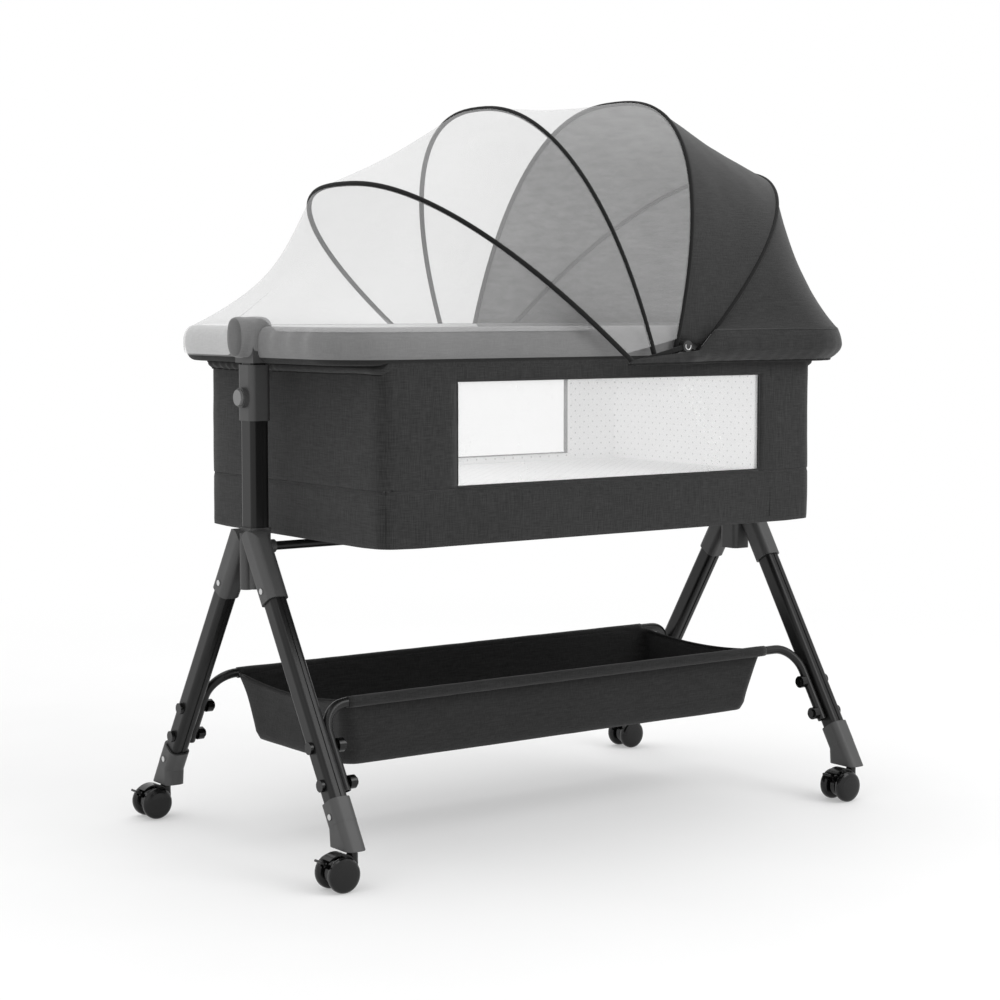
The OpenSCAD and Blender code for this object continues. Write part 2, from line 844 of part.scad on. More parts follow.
// Cloth from the head-end hoop down to the rail
module canopy_back_panel() {
    color(CHARCOAL)
        sheet([for (k = [0:span_steps]) [for (j = [0:arch_steps]) let(a = arch_angle(j))
            mix(rail_point(1, BACK_EDGE, a), hoop_point(0, cloth_off, a),
                0.97 * k / span_steps)]]);
}

// Hem of the canopy, hanging outside the rail round the head end
module canopy_hem() {
    color(CHARCOAL) intersection() {
        ring(skirt[1][0], skirt_y, skirt_r, (skirt[0][1] + skirt[1][1]) / 2)
            square([skirt_t, skirt[1][1] - skirt[0][1]], center = true);
        translate([skirt[0][0], -bed_l / 2, 0]) cube([bed_l, bed_l, 2 * rail_z]);
    }
}

// ---------- assembly ----------

hub(-1);  // hub_left
hub(1);  // hub_right
leg(-1, -1);  // leg_front_left
leg(-1, 1);  // leg_back_left
leg(1, -1);  // leg_front_right
leg(1, 1);  // leg_back_right
foot_socket(-1, -1);  // foot_socket_front_left
foot_socket(-1, 1);  // foot_socket_back_left
foot_socket(1, -1);  // foot_socket_front_right
foot_socket(1, 1);  // foot_socket_back_right
leg_screws();
crossbar();
upright(-1);  // upright_left
upright(1);  // upright_right
lock_collar(-1);  // lock_collar_left
lock_collar(1);  // lock_collar_right
lock_springs();
height_button(-1);  // height_button_left
height_button(1);  // height_button_right
basket_rail(-1);  // basket_rail_front
basket_rail(1);  // basket_rail_back
basket_bolts();
basket_knobs();
storage_basket();
caster_housing(-1, -1);  // caster_housing_front_left
caster_housing(-1, 1);  // caster_housing_back_left
caster_housing(1, -1);  // caster_housing_front_right
caster_housing(1, 1);  // caster_housing_back_right
caster_wheels(-1, -1);  // caster_wheels_front_left
caster_wheels(-1, 1);  // caster_wheels_back_left
caster_wheels(1, -1);  // caster_wheels_front_right
caster_wheels(1, 1);  // caster_wheels_back_right
caster_brake(-1, -1);  // caster_brake_front_left
caster_brake(-1, 1);  // caster_brake_back_left
caster_brake(1, -1);  // caster_brake_front_right
caster_brake(1, 1);  // caster_brake_back_right
slide_tube(-1);  // slide_tube_left
slide_tube(1);  // slide_tube_right
end_bracket(-1);  // end_bracket_left
end_bracket(1);  // end_bracket_right
rim_tube();
rail_cover();
rim_zip();
bed_shell();
mesh_window(-1);  // mesh_window_front
mesh_window(1);  // mesh_window_back
inner_liner();
floor_board();
mattress();
canopy_pivots();
hoop(0);  // canopy_rear_hoop
hoop(1);  // canopy_front_hoop
hoop(2);  // net_middle_hoop
hoop(3);  // net_front_hoop
canopy_hem();
canopy_back_panel();
canopy_top_panel();
net_rear_panel();
net_middle_panel();
net_front_panel();
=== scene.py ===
"""Looks of the bassinet on its stand: soft goods, finishes, floor, light and camera.

Metres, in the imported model's own frame: +X to the head end, -Y to the front long side, +Z up.
"""

import json
from math import cos, pi, radians, sin, tau

import bmesh
import bpy
import numpy as np
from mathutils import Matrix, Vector, noise


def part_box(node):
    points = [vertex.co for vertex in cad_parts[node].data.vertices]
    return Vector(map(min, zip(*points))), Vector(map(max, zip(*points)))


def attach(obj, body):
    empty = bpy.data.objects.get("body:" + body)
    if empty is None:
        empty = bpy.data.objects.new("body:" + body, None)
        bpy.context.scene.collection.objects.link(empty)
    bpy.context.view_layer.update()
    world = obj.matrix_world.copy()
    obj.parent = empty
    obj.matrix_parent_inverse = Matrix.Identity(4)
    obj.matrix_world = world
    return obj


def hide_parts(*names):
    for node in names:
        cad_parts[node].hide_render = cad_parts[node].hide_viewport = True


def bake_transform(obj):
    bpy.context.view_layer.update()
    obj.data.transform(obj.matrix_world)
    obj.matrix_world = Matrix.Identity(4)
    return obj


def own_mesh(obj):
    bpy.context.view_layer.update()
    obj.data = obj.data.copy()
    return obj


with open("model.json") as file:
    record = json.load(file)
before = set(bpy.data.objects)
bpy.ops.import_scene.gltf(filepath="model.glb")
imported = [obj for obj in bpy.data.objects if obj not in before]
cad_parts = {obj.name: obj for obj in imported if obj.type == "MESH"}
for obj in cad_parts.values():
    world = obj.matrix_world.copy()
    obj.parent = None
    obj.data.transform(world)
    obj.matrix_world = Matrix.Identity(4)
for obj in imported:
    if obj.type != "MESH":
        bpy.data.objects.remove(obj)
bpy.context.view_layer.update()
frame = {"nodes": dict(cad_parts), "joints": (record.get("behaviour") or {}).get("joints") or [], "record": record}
NODES = frame["nodes"]

# ------------------------ sizes, from the frame

PIVOT = Vector(next(j for j in frame["joints"] if j["name"] == "canopy_fold")["pos_m"])
WINDOW_LO, WINDOW_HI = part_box("mesh_window_front")
BOARD_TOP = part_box("floor_board")[1][2]
MATTRESS_LO, MATTRESS_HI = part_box("mattress")
BAG_LO, BAG_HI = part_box("storage_basket")
CLOTH_CENTRE = Vector((PIVOT.x, 0, 0.56))

# The fabric box: half sizes and corner radius, heights of its floor and brim, height of its long seam
BOX = (0.3726, 0.2247, 0.015)
BOX_Z = (0.423, 0.656)
SEAM_Z = 0.498

# The padded rail: half sizes and corner radius of its centre line, its height, half sizes of the pad
RAIL = (0.422, 0.220, 0.062)
RAIL_Z = 0.682
PAD_HALF = (0.0171, 0.0245)
TRIM_Z = 0.6665  # below this the pad's cover is its dark trim

# The hoops, from the head end to the foot end: plane's angle from +X, height in that plane,
# exponent of the rounded arch, and the foot of the arch along X and Z (as in the CAD source)
HOOPS = [
    (43.5, 0.389, 2.25, 0.138, 0.668),
    (76.0, 0.373, 2.5, 0.095, 0.669),
    (109.0, 0.368, 2.35, 0.056, 0.663),
    (141.5, 0.390, 2.46, 0.015, 0.656),
]
HOOP_BODIES = ["canopy_rear", "canopy_front", "net_middle", "net_front"]
HOOP_HALF = 0.2409  # half width of the first hoop
HOOP_PITCH = 0.0042  # and how much wider each next one is
CLOTH_OUT = 0.0012  # the cloth stands this far outside the hoops' centre lines
CANOPY_THICK = 0.0012

# The canopy's edge: where its tip starts by the net hoops, how long the tip is, where the back
# panel takes over, and the middle that the back panel is fanned out from
TIP_X = 0.004
TIP_LONG = 0.128
BACK_X = 0.132
FAN_X = 0.13

# The storage basket: the legs' spread below the hubs' height, and the height of the basket's rails
LEG_SPREAD = 0.62
HUB_Z = 0.4515
BAG_RAIL_Z = 0.216

# ------------------------ mesh helpers


def add_object(name, verts, faces):
    """A smooth-shaded object in the scene."""
    mesh = bpy.data.meshes.new(name)
    mesh.from_pydata([tuple(v) for v in verts], [], faces)
    mesh.validate()
    mesh.polygons.foreach_set("use_smooth", [True] * len(mesh.polygons))
    obj = bpy.data.objects.new(name, mesh)
    bpy.context.scene.collection.objects.link(obj)
    return obj


def grid(name, rows, wrap_rows=False, wrap_cols=False, caps=()):
    """A sheet through rows of points, closed round on itself in either direction if asked.

    Caps lists the rows, 0 or -1, that are closed over with one face. Its faces then turn outwards.
    """
    nr, nc = len(rows), len(rows[0])
    verts = [p for row in rows for p in row]
    faces = []
    for i in range(nr if wrap_rows else nr - 1):
        for j in range(nc if wrap_cols else nc - 1):
            i2, j2 = (i + 1) % nr, (j + 1) % nc
            faces.append((i * nc + j, i2 * nc + j, i2 * nc + j2, i * nc + j2))
    for row in caps:
        first = (row % nr) * nc
        faces.append(tuple(range(first, first + nc)))
    obj = add_object(name, verts, faces)
    if caps:
        fix_normals(obj)
    return obj


def tube(name, points, radius, sides=12, closed=False):
    """A round tube along a line of points, with flat ends unless it is closed."""
    points = [Vector(p) for p in points]
    n = len(points)
    rings, normal = [], None
    for i, p in enumerate(points):
        if closed:
            t = points[(i + 1) % n] - points[i - 1]
        else:
            t = points[min(i + 1, n - 1)] - points[max(i - 1, 0)]
        t.normalize()
        if normal is None:
            normal = t.orthogonal().normalized()
        normal = (normal - t * normal.dot(t)).normalized()
        side = t.cross(normal)
        r = radius(i / (n - 1)) if callable(radius) else radius
        rings.append([p + r * (cos(tau * k / sides) * normal + sin(tau * k / sides) * side)
                      for k in range(sides)])
    obj = grid(name, rings, wrap_rows=closed, wrap_cols=True, caps=() if closed else (0, -1))
    if closed:
        fix_normals(obj)
    return obj


def fix_normals(obj):
    """Turns every face of a closed mesh outwards."""
    bm = bmesh.new()
    bm.from_mesh(obj.data)
    bmesh.ops.recalc_face_normals(bm, faces=bm.faces)
    bm.to_mesh(obj.data)
    bm.free()


def thicken(obj, thickness, inner_slot=0):
    """Gives a sheet a thickness on its inner side, with its inner face in another material slot."""
    m = obj.modifiers.new("thickness", "SOLIDIFY")
    m.thickness = thickness
    m.offset = -1
    m.use_even_offset = False
    m.material_offset = inner_slot
    bpy.context.view_layer.update()
    evaluated = obj.evaluated_get(bpy.context.evaluated_depsgraph_get())
    mesh = bpy.data.meshes.new_from_object(evaluated)
    obj.modifiers.clear()
    obj.data = mesh
    return obj


def join(name, parts):
    """One object from several, with all their materials."""
    verts, faces, materials, slots = [], [], [], []
    for part in parts:
        mesh = part.data
        base = len(verts)
        verts += [v.co.copy() for v in mesh.vertices]
        for m in mesh.materials:
            if m not in materials:
                materials.append(m)
        for poly in mesh.polygons:
            faces.append(tuple(v + base for v in poly.vertices))
            slots.append(materials.index(mesh.materials[poly.material_index]))
        bpy.data.objects.remove(part)
    obj = paint(add_object(name, verts, faces), *materials)
    obj.data.polygons.foreach_set("material_index", slots)
    return obj


def face_from(obj, centre):
    """Turns every face of an open sheet away from a point."""
    mesh = obj.data
    faces = []
    for poly in mesh.polygons:
        out = poly.normal.dot(poly.center - Vector(centre)) > 0
        faces.append(tuple(poly.vertices) if out else tuple(reversed(poly.vertices)))
    verts = [v.co.copy() for v in mesh.vertices]
    name = obj.name
    bpy.data.objects.remove(obj)
    return add_object(name, verts, faces)


def paint(obj, *materials):
    """Gives an object these materials, in this order."""
    obj.data.materials.clear()
    for m in materials:
        obj.data.materials.append(m)
    return obj


def rounded_path(hx, hy, r, per_corner=10, per_side=24):
    """Points and outward directions round a rectangle with round corners, anticlockwise."""
    out = []
    corners = [(1, 1), (-1, 1), (-1, -1), (1, -1)]
    for k, (sx, sy) in enumerate(corners):
        c = Vector((sx * (hx - r), sy * (hy - r), 0))
        for i in range(per_corner + 1):
            a = (k + i / per_corner) * pi / 2
            d = Vector((cos(a), sin(a), 0))
            out.append((c + r * d, d))
        nx, ny = corners[(k + 1) % 4]
        nxt = Vector((nx * (hx - r), ny * (hy - r), 0))
        for i in range(1, per_side):
            p = (c + r * d).lerp(nxt + r * d, i / per_side)
            out.append((p, d))
    return out


def wave(p, scale, seed=0.0):
    """Smooth noise from -1 to 1 at a point, with features about 1/scale across."""
    return noise.noise(Vector(p) * scale + Vector((seed, seed * 1.7, -seed)))


# ------------------------ materials


class Shader:
    """A Principled material with a few short ways to build its nodes."""

    def __init__(self, name):
        self.mat = bpy.data.materials.new(name)
        self.mat.use_nodes = True
        self.nodes = self.mat.node_tree.nodes
        self.links = self.mat.node_tree.links
        self.bsdf = next(n for n in self.nodes if n.type == "BSDF_PRINCIPLED")
        self.coords = self.nodes.new("ShaderNodeTexCoord").outputs["Object"]

    def set(self, **values):
        for key, value in values.items():
            self.bsdf.inputs[key.replace("_", " ")].default_value = value

    def scaled(self, vector, scale):
        """A vector with a scale for each axis."""
        n = self.nodes.new("ShaderNodeMapping")
        n.inputs["Scale"].default_value = scale
        self.links.new(vector, n.inputs["Vector"])
        return n.outputs["Vector"]

    def noise(self, scale, detail=2.0, roughness=0.5):
        scale = (scale,) * 3 if isinstance(scale, (int, float)) else scale
        n = self.nodes.new("ShaderNodeTexNoise")
        n.inputs["Scale"].default_value = 1.0
        n.inputs["Detail"].default_value = detail
        n.inputs["Roughness"].default_value = roughness
        self.links.new(self.scaled(self.coords, scale), n.inputs["Vector"])
        return n.outputs["Fac"]

    def math(self, op, a, b):
        """Arithmetic on two values, each a number or a node's output."""
        n = self.nodes.new("ShaderNodeMath")
        n.operation = op
        for socket, value in zip(n.inputs, (a, b)):
            if isinstance(value, (int, float)):
                socket.default_value = value
            else:
                self.links.new(value, socket)
        return n.outputs[0]

    def mean(self, a, b):
        return self.math("ADD", self.math("MULTIPLY", a, 0.5), self.math("MULTIPLY", b, 0.5))

    def ramp(self, fac, stops):
        """A colour for each value, from stops of position and grey level or colour."""
        n = self.nodes.new("ShaderNodeValToRGB")
        n.color_ramp.elements.remove(n.color_ramp.elements[1])
        for i, (at, level) in enumerate(stops):
            e = n.color_ramp.elements[0] if i == 0 else n.color_ramp.elements.new(at)
            e.position = at
            rgb = (level,) * 3 if isinstance(level, (int, float)) else level
            e.color = (*rgb, 1)
        self.links.new(fac, n.inputs["Fac"])
        return n.outputs["Color"]

    def multiply(self, a, b):
        """Two colours multiplied."""
        n = self.nodes.new("ShaderNodeMix")
        n.data_type = "RGBA"
        n.blend_type = "MULTIPLY"
        factor, first, second = n.inputs[0], n.inputs[6], n.inputs[7]
        factor.default_value = 1.0
        self.links.new(a, first)
        self.links.new(b, second)
        return n.outputs[2]

    def spread(self, value, low, high, start=0.0, end=1.0):
        """Values from start to end, spread over low to high."""
        n = self.nodes.new("ShaderNodeMapRange")
        n.inputs["From Min"].default_value = start
        n.inputs["From Max"].default_value = end
        n.inputs["To Min"].default_value = low
        n.inputs["To Max"].default_value = high
        self.links.new(value, n.inputs["Value"])
        return n.outputs[0]

    def colour(self, value):
        self.links.new(value, self.bsdf.inputs["Base Color"])

    def rough(self, value, low, high):
        self.links.new(self.spread(value, low, high), self.bsdf.inputs["Roughness"])

    def bump(self, height, distance):
        n = self.nodes.new("ShaderNodeBump")
        n.inputs["Distance"].default_value = distance
        self.links.new(height, n.inputs["Height"])
        self.links.new(n.outputs["Normal"], self.bsdf.inputs["Normal"])


def woven(name, low, high, thread=0.0011, slub=16, bump=0.0005, sheen=0.25, contrast=0.2):
    """A plain weave in mixed yarns: fine threads both ways, slubs along them, broad shading."""
    s = Shader(name)
    s.set(Sheen_Weight=sheen, Sheen_Roughness=0.5, Roughness=0.9, Specular_IOR_Level=0.25)
    fine, long = 1 / thread, 1 / (slub * thread)
    weft = s.noise((long, long, fine), 1.5)
    warp = s.noise((fine, fine, long), 1.5)
    threads = s.mean(weft, warp)
    yarn = s.ramp(threads, [(0.5 - contrast, low), (0.5 + contrast, high)])
    broad = s.ramp(s.noise(5.0, 3.0), [(0.3, 0.88), (0.7, 1.0)])
    s.colour(s.multiply(yarn, broad))
    s.bump(threads, bump)
    return s.mat


def creased_lining(name, low, high):
    """Thin lining cloth: a fine weave, small dragged creases, and paler where it thins at the crown."""
    s = Shader(name)
    s.set(Sheen_Weight=0.25, Sheen_Roughness=0.5, Roughness=0.9, Specular_IOR_Level=0.25)
    creases = s.noise((34, 20, 95), 5.0, 0.62)
    drifts = s.noise((7, 7, 12), 3.0)
    cloth = s.ramp(creases, [(0.34, low), (0.62, high)])
    broad = s.ramp(drifts, [(0.3, 0.9), (0.7, 1.0)])
    split = s.nodes.new("ShaderNodeSeparateXYZ")
    s.links.new(s.coords, split.inputs[0])
    crown = s.ramp(split.outputs["Z"], [(0.78, 0.84), (0.88, 0.96), (0.98, 1.0)])
    s.colour(s.multiply(s.multiply(cloth, broad), crown))
    s.bump(creases, 0.0014)
    return s.mat


def moulded(name, value, rough=(0.42, 0.55), grain=900, bump=0.00008, **sockets):
    """Moulded plastic: a fine spark-eroded grain and slow changes in gloss."""
    s = Shader(name)
    s.set(**sockets)
    tone = s.ramp(s.noise(14, 3.0), [(0.3, value * 0.93), (0.7, value * 1.06)])
    s.colour(tone)
    s.rough(s.noise(30, 4.0), *rough)
    s.bump(s.noise(grain, 2.0), bump)
    return s.mat


def coated(name, value, rough):
    """Powder-coated steel: orange-peel bump and faint scuffs."""
    s = Shader(name)
    s.set(Specular_IOR_Level=0.28)
    scuffs = s.noise((60, 60, 8), 6.0, 0.65)
    s.colour(s.ramp(scuffs, [(0.35, value), (0.75, value * 1.35)]))
    s.rough(scuffs, *rough)
    s.bump(s.noise(650, 1.0), 0.00005)
    return s.mat


def dotted(name, flat_axis, low, high):
    """Padded knit with a regular print of small dots, seen along one axis."""
    s = Shader(name)
    s.set(Sheen_Weight=0.2, Roughness=0.92, Specular_IOR_Level=0.2)
    s.set(Emission_Color=(1, 1, 1, 1), Emission_Strength=0.11)  # daylight through the thin cloth
    pitch = 0.0125
    cells = [1 / pitch] * 3
    cells[flat_axis] = 0.0
    turn = [0.0, 0.0, 0.0]
    turn[flat_axis] = pi / 4
    dots = s.nodes.new("ShaderNodeTexVoronoi")
    dots.inputs["Scale"].default_value = 1.0
    dots.inputs["Randomness"].default_value = 0.0
    rotated = s.nodes.new("ShaderNodeVectorRotate")
    rotated.rotation_type = "EULER_XYZ"
    rotated.inputs["Rotation"].default_value = turn
    s.links.new(s.coords, rotated.inputs["Vector"])
    s.links.new(s.scaled(rotated.outputs[0], cells), dots.inputs["Vector"])
    knit = s.noise(1100, 1.0)
    base = s.ramp(knit, [(0.3, low), (0.7, high)])
    spot = s.ramp(dots.outputs["Distance"], [(0.08, 0.55), (0.13, 1.0)])
    s.colour(s.multiply(base, spot))
    s.bump(knit, 0.0004)
    return s.mat


def netting(name, opacity, value, pitch=0.0016):
    """Fine net: threads both ways, a little thicker or thinner from place to place."""
    s = Shader(name)
    s.set(Roughness=0.8, Sheen_Weight=0.3, Specular_IOR_Level=0.2)
    s.colour(s.ramp(s.noise(700, 1.0), [(0.3, value * 0.94), (0.7, value)]))
    threads = s.noise((1 / pitch, 1 / pitch, 0.12 / pitch), 1.0)
    others = s.noise((0.12 / pitch, 0.12 / pitch, 1 / pitch), 1.0)
    weave = s.mean(threads, others)
    drift = s.noise((9, 9, 4), 3.0)
    alpha = s.spread(s.mean(weave, drift), *opacity, start=0.3, end=0.7)
    s.links.new(alpha, s.bsdf.inputs["Alpha"])
    s.bump(weave, 0.0003)
    return s.mat


def zip_tape():
    """Dark tape with the pale glint of small teeth."""
    s = Shader("zip_tape")
    s.set(Roughness=0.6)
    teeth = s.noise((700, 700, 90), 0.0)
    s.colour(s.ramp(teeth, [(0.42, 0.012), (0.55, 0.09)]))
    s.bump(teeth, 0.0006)
    return s.mat


def fibreboard():
    """Brown pressed board with fine speckles."""
    s = Shader("board")
    s.set(Roughness=0.8)
    s.colour(s.ramp(s.noise(400, 5.0), [(0.3, (0.36, 0.25, 0.15)), (0.7, (0.5, 0.38, 0.24))]))
    s.bump(s.noise(900, 2.0), 0.0002)
    return s.mat


def bright_steel():
    """Plated steel with a faint grain."""
    s = Shader("bright_steel")
    s.set(Metallic=1.0)
    s.colour(s.ramp(s.noise(40, 3.0), [(0.3, 0.5), (0.7, 0.62)]))
    s.rough(s.noise((20, 300, 300), 2.0), 0.22, 0.38)
    return s.mat


CHARCOAL = woven("charcoal_weave", 0.009, 0.034, sheen=0.15)
CANOPY_CLOTH = woven("canopy_weave", 0.009, 0.027, sheen=0.15)
LINING = creased_lining("canopy_lining", 0.17, 0.27)
BASKET_CLOTH = woven("basket_weave", 0.006, 0.023, bump=0.0004, sheen=0.12)
RAIL_CLOTH = woven("rail_weave", 0.14, 0.2, thread=0.0008, contrast=0.3, bump=0.0003)
PALE_SLEEVE = woven("pale_sleeve", 0.62, 0.74, thread=0.0008, contrast=0.3, bump=0.0003)
CAP_FACE = woven("cap_face", 0.08, 0.13, thread=0.0008, contrast=0.3, bump=0.0003)
TRIM = woven("trim_tape", 0.006, 0.018, thread=0.0008, slub=6, sheen=0.08)
BINDING = woven("black_binding", 0.003, 0.010, thread=0.0007, slub=5, bump=0.0003, sheen=0.05)
LINER_SIDE = dotted("liner_side", 1, 0.88, 0.97)
LINER_END = dotted("liner_end", 0, 0.88, 0.97)
MATTRESS_TOP = dotted("mattress_top", 2, 0.82, 0.92)
MATTRESS_EDGE = woven("mattress_edge", 0.7, 0.82, thread=0.0009, contrast=0.3)
NET = netting("net", (0.26, 0.34), 0.6)
NET_GATHERED = netting("net_gathered", (0.48, 0.6), 0.78)
WINDOW_NET = netting("window_net", (0.24, 0.28), 0.9, pitch=0.0022)
GREY_PLASTIC = moulded("grey_plastic", 0.045)
BLACK_PLASTIC = moulded(
    "black_plastic", 0.003, rough=(0.14, 0.24), grain=500, bump=0.00004, Specular_IOR_Level=0.35
)
GUNMETAL = coated("gunmetal", 0.006, rough=(0.24, 0.36))
BLACK_TUBE = coated("black_tube", 0.008, rough=(0.22, 0.34))
STEEL = bright_steel()
BUTTON = moulded("lock_button", 0.16, rough=(0.2, 0.3))
RIVET_CAP = moulded("rivet_cap", 0.018, rough=(0.5, 0.65))
ZIP = zip_tape()
BOARD = fibreboard()

SLOT_MATERIALS = {
    "grey_plastic": GREY_PLASTIC,
    "gunmetal_tube": GUNMETAL,
    "black_plastic": BLACK_PLASTIC,
    "steel": STEEL,
    "black_tube": BLACK_TUBE,
    "basket_fabric": BASKET_CLOTH,
    "charcoal_fabric": CHARCOAL,
    "rail_fabric": RAIL_CLOTH,
    "net": NET,
    "window_mesh": WINDOW_NET,
    "liner_fabric": LINER_SIDE,
    "mattress_fabric": MATTRESS_EDGE,
    "piping": BINDING,
    "zip": ZIP,
    "board": BOARD,
}


def finish_cad_nodes():
    """Paints each node of the frame by its material slot, and a few by name."""
    for part in frame["record"]["subparts"]:
        paint(NODES[part["node"]], SLOT_MATERIALS[part["material_slot"]])
    paint(NODES["canopy_pivots"], RIVET_CAP)
    for node in ("height_button_left", "height_button_right"):
        paint(NODES[node], BUTTON)
    for node in ("slide_tube_left", "slide_tube_right"):
        paint(NODES[node], GUNMETAL)


# ------------------------ canopy and net


def hoop_point(i, a, grow=0.0):
    """A point of hoop i at arch angle a, from the front long side to the back one."""
    plane, high, n, foot_x, foot_z = HOOPS[i]
    up = (high + grow) * abs(sin(a)) ** (2 / n)
    side = -np.sign(cos(a)) * abs(cos(a)) ** (2 / n)
    t = radians(plane)
    half = HOOP_HALF + i * HOOP_PITCH + grow
    return Vector((foot_x + up * cos(t), half * side, foot_z + up * sin(t)))


def arch_angles(n, start=0.0):
    """Arch angles that space points evenly enough along a hoop, close together at its feet."""
    out = []
    for k in range(n + 1):
        u = k / n
        eased = u - 0.06 * sin(tau * u)
        out.append(start + (pi - 2 * start) * eased)
    return out


def build_piping():
    """Corded edges along the hoops, and a seam inside the rear one."""
    for i, body in enumerate(HOOP_BODIES):
        points = [hoop_point(i, a) for a in arch_angles(96)]
        piece = paint(tube("piping_" + body, points, 0.0036, sides=10), BINDING)
        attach(piece, body)
    seam = tube("canopy_lining_seam", [hoop_point(0, a, -0.0034) for a in arch_angles(96)], 0.0021, sides=8)
    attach(paint(seam, BINDING), "canopy_rear")


def span(i, rows, angles, sag, seed):
    """Rows of cloth from hoop i to the next, hollowed towards the middle and a little uneven."""
    out = []
    for k in range(rows + 1):
        u = k / rows
        row = []
        for a in angles:
            p = hoop_point(i, a, CLOTH_OUT).lerp(hoop_point(i + 1, a, CLOTH_OUT), u)
            away = (p - CLOTH_CENTRE).normalized()
            dip = sag * sin(pi * u) * sin(a)
            loose = sin(pi * u)
            ripple = 0.0016 * wave(p, 11, seed) + 0.0007 * wave(p, 34, seed + 3)
            row.append(p - away * (dip - loose * ripple))
        out.append(row)
    return out


def pad_reach(z):
    """How far the pad's outer face stands out from the rail's centre line at a height."""
    share = min(1.0, abs(z - RAIL_Z) / PAD_HALF[1])
    return PAD_HALF[0] * (1 - share ** 2.44) ** 0.43  # the outline of rail_section, solved for x


def rail_path(off, x_from, n):
    """Points spaced evenly round one end of the rail, off outside its centre line, front to back."""
    end = 1 if x_from > 0 else -1
    hx, hy, r = RAIL[0] + off, RAIL[1] + off, RAIL[2] + off
    straight, arc, cap = abs(end * (hx - r) - x_from), r * pi / 2, 2 * (hy - r)
    total = 2 * straight + 2 * arc + cap
    out = []
    for k in range(n):
        d = total * k / (n - 1)
        flip = d > total / 2
        d = min(d, total - d)
        if d <= straight:
            x, y = x_from + end * d, -hy
        elif d <= straight + arc:
            a = (d - straight) / r
            x, y = end * (hx - r + r * sin(a)), -(hy - r + r * cos(a))
        else:
            x, y = end * hx, -(hy - r) + (d - straight - arc)
        out.append(Vector((x, -y if flip else y, 0)))
    return out


def smooth(t):
    """0 where t is 0 or less, 1 where it is 1 or more, and eased between."""
    t = min(1.0, max(0.0, t))
    return t * t * (3 - 2 * t)


def build_cloth():
    """The canopy's top and the two net panels, each from one hoop to the next."""
    angles = arch_angles(120, radians(1.5))
    panels = [
        ("canopy_top", "canopy_top_panel", 0.004),
        ("net_rear", "net_rear_panel", 0.007),
        ("net_middle", "net_middle_panel", 0.007),
    ]
    for i, (name, node, sag) in enumerate(panels):
        rows = span(i, 26, angles, sag, seed=5.0 * i)
        sheet = face_from(grid(name, rows), CLOTH_CENTRE)
        if i == 0:
            paint(sheet, CANOPY_CLOTH, LINING)
            sheet = thicken(sheet, CANOPY_THICK, inner_slot=1)
        else:
            paint(sheet, NET)
        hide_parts(node)
        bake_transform(sheet)


def build_back():
    """Cloth from the rear hoop to the rail round the head end. Returns its lower edge, for the hem."""
    n = 141
    angles = arch_angles(n - 1, radians(1.5))
    high = [hoop_point(0, a, CLOTH_OUT) for a in angles]
    low = rail_path(0.0416, BACK_X, n)
    rows = []
    for k in range(31):
        u = k / 30
        row = []
        for a, p, q in zip(angles, low, high):
            low_z = min(0.6995, 0.6715 + 0.93 * (p.x - BACK_X))
            base = Vector((p.x, p.y, low_z)) - Vector((p.x - FAN_X, p.y, 0)).normalized() * 0.0075
            at = base.lerp(q, u)
            away = (at - CLOTH_CENTRE).normalized()
            dip = 0.011 * sin(pi * u ** 0.8) * sin(a)
            ripple = sin(pi * u) * (0.0016 * wave(at, 9, 21) + 0.0006 * wave(at, 30, 24))
            row.append(at - away * (dip - ripple))
        rows.append(row)
    sheet = face_from(grid("canopy_back", rows), CLOTH_CENTRE)
    paint(sheet, CANOPY_CLOTH, LINING)
    sheet = thicken(sheet, CANOPY_THICK, inner_slot=1)
    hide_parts("canopy_back_panel")
    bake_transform(sheet)
    return rows[0]


def build_hem(top):
    """The canopy's edge, rounded under outside the rail, with a tip running on to the net hoops."""
    n_tip = 20
    front = [Vector((TIP_X + TIP_LONG * k / n_tip, -0.2565, 0)) for k in range(n_tip)]
    line = front + top + [Vector((p.x, -p.y, 0)) for p in reversed(front)]
    rows = []
    for k in range(17):
        u = k / 16
        row = []
        for j, p in enumerate(line):
            tip = min(1.0, max(0.0, (p.x - TIP_X) / TIP_LONG))
            tip = tip if j < n_tip or j >= len(line) - n_tip else 1.0
            start = 0.657 + 0.0145 * tip ** 0.6 if tip < 1 else p.z
            full = min(1.0, max(0.0, (p.x - 0.10) / 0.10))
            z = start + (0.6545 + 0.0012 * full - start) * u
            away = Vector((p.x - FAN_X, p.y * 0.9, 0)).normalized()
            round_off = 0.0048 * sin(pi / 2 * min(1.0, u / 0.5)) - 0.019 * max(0.0, (u - 0.5) / 0.5) ** 2
            fold = 0.0008 * u * sin(j * 1.9 + 3 * wave(p, 9, 4)) + 0.0013 * u * wave((p.x, p.y, z), 20, 8)
            tuck = 0.0016 * full * max(0.0, 1 - 12 * u)  # the top edge lies under the back panel's
            reach = round_off * (0.15 + 0.85 * full) + fold - tuck
            row.append(Vector((p.x, p.y, z + 1.4 * tuck)) + away * reach)
        rows.append(row)
    sheet = face_from(grid("canopy_hem_cloth", rows), (FAN_X, 0, 0.68))
    paint(sheet, CANOPY_CLOTH, LINING)
    sheet = thicken(sheet, CANOPY_THICK, inner_slot=1)
    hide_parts("canopy_hem")
    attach(sheet, "bed")
    binding = tube("canopy_hem_binding", rows[-1], 0.0018, sides=8)
    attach(paint(binding, BINDING), "bed")


